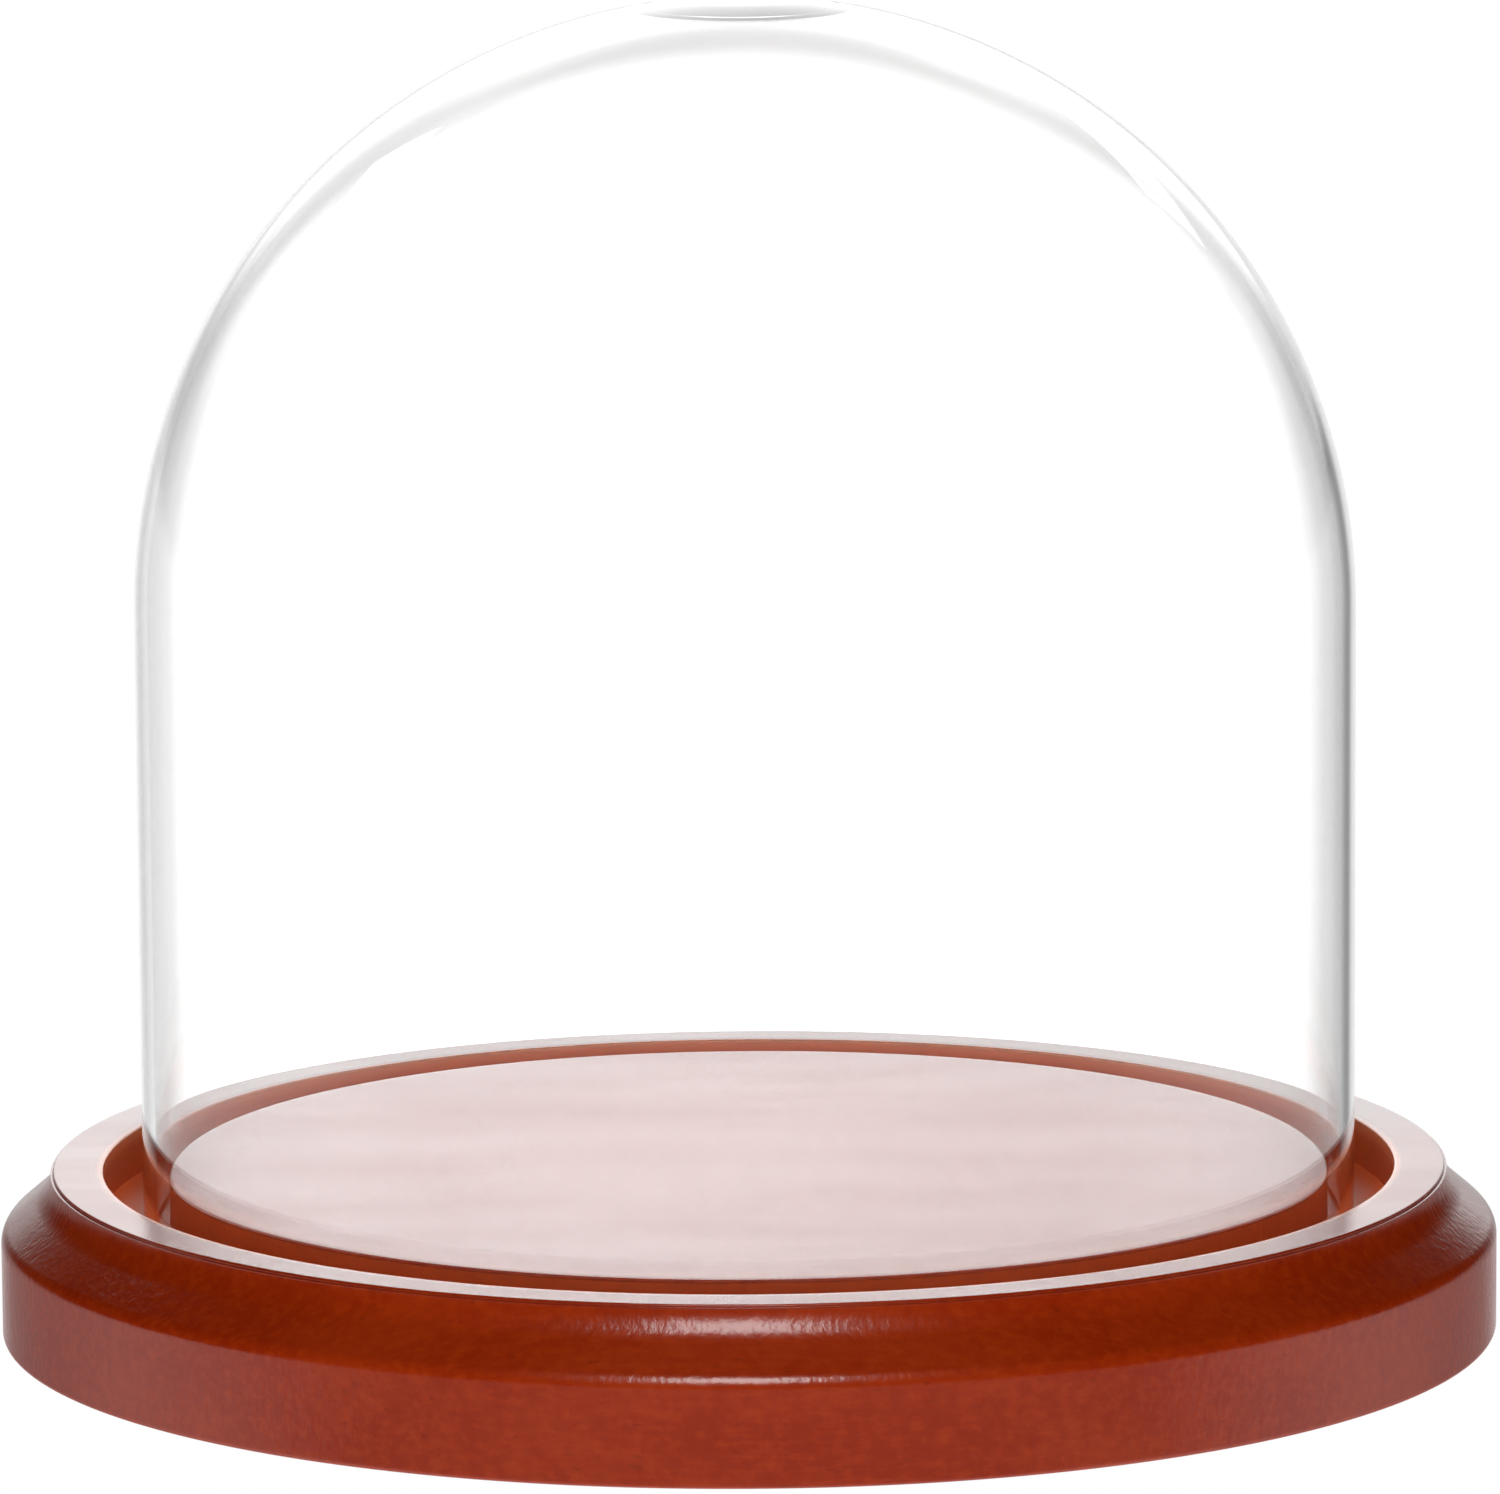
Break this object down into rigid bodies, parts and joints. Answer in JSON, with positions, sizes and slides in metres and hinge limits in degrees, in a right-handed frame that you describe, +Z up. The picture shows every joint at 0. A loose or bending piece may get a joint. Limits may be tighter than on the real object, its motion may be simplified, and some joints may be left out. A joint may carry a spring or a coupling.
{
  "type": "cheese dome",
  "caption": "Clear glass dome with a round crown that stands in a ring groove of a turned wooden base, covers what lies on the plateau and lifts straight off.",
  "frame": {"origin": "on the table, at the centre of the felt disc's underside", "axes": "+Z up along the dome's axis of symmetry; the object is round, so +X and +Y are any two level directions at right angles, with -Y towards the viewer"},
  "size_m": [0.2508, 0.2508, 0.2235],
  "materials": {
    "clear_glass": "clear polished glass, faint grey-green at the edges",
    "stained_wood": "red-brown cherry stain under a satin to gloss lacquer",
    "felt": "dense brown wool felt"
  },
  "bodies": {
    "base": {"wood_base": "stained_wood", "felt_pad": "felt"},
    "dome": {"glass_dome": "clear_glass"}
  },
  "joints": [
    {"name": "dome_lift", "type": "slide", "parent": "base", "child": "dome", "axis": [0, 0, 1], "range_m": [0, 0.25]}
  ]
}
